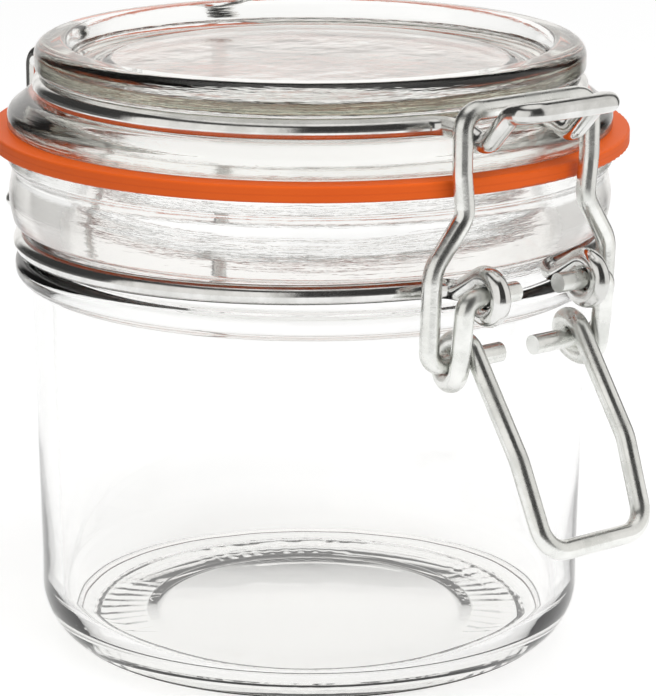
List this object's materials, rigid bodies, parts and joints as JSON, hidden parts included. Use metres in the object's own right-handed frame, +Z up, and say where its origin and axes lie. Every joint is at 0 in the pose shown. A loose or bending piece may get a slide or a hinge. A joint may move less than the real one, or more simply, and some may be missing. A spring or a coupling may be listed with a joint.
{
  "type": "clip-top preserving jar",
  "caption": "Low round clip-top preserving jar: clear glass body and lid, rubber seal, bent-wire clasp and hinge.",
  "frame": {"origin": "centre of the foot, on the surface the jar stands on", "axes": "+Z up along the jar, -Y towards the clasp, +Y towards the hinge, +X to the right seen from the clasp"},
  "size_m": [0.084, 0.1074, 0.0809],
  "materials": {
    "clear_glass": "clear pressed glass",
    "lid_glass": "clear pressed glass, slightly thicker tint",
    "orange_rubber": "smooth orange sealing rubber",
    "bright_wire": "bright zinc-plated round wire"
  },
  "bodies": {
    "jar": {"jar_glass": "clear_glass", "neck_wire": "bright_wire"},
    "lid": {"lid_glass": "lid_glass", "lid_wire": "bright_wire", "seal_ring": "orange_rubber"},
    "lever": {"lever_wire": "bright_wire"},
    "bail": {"bail_wire": "bright_wire"}
  },
  "joints": [
    {"name": "lid_hinge", "type": "hinge", "parent": "jar", "child": "lid", "pos_m": [0, 0.0455, 0.05411], "axis": [-1, 0, 0], "range_deg": [0, 110]},
    {"name": "lever_hinge", "type": "hinge", "parent": "jar", "child": "lever", "pos_m": [0, -0.0452, 0.0559], "axis": [-1, 0, 0], "range_deg": [0, 115]},
    {"name": "bail_hinge", "type": "hinge", "parent": "lever", "child": "bail", "pos_m": [0, -0.0416, 0.0474], "axis": [-1, 0, 0], "range_deg": [-84, 0]}
  ],
  "couplings": [
    {"joint": "bail_hinge", "follows": "lever_hinge", "ratio": -0.73}
  ]
}
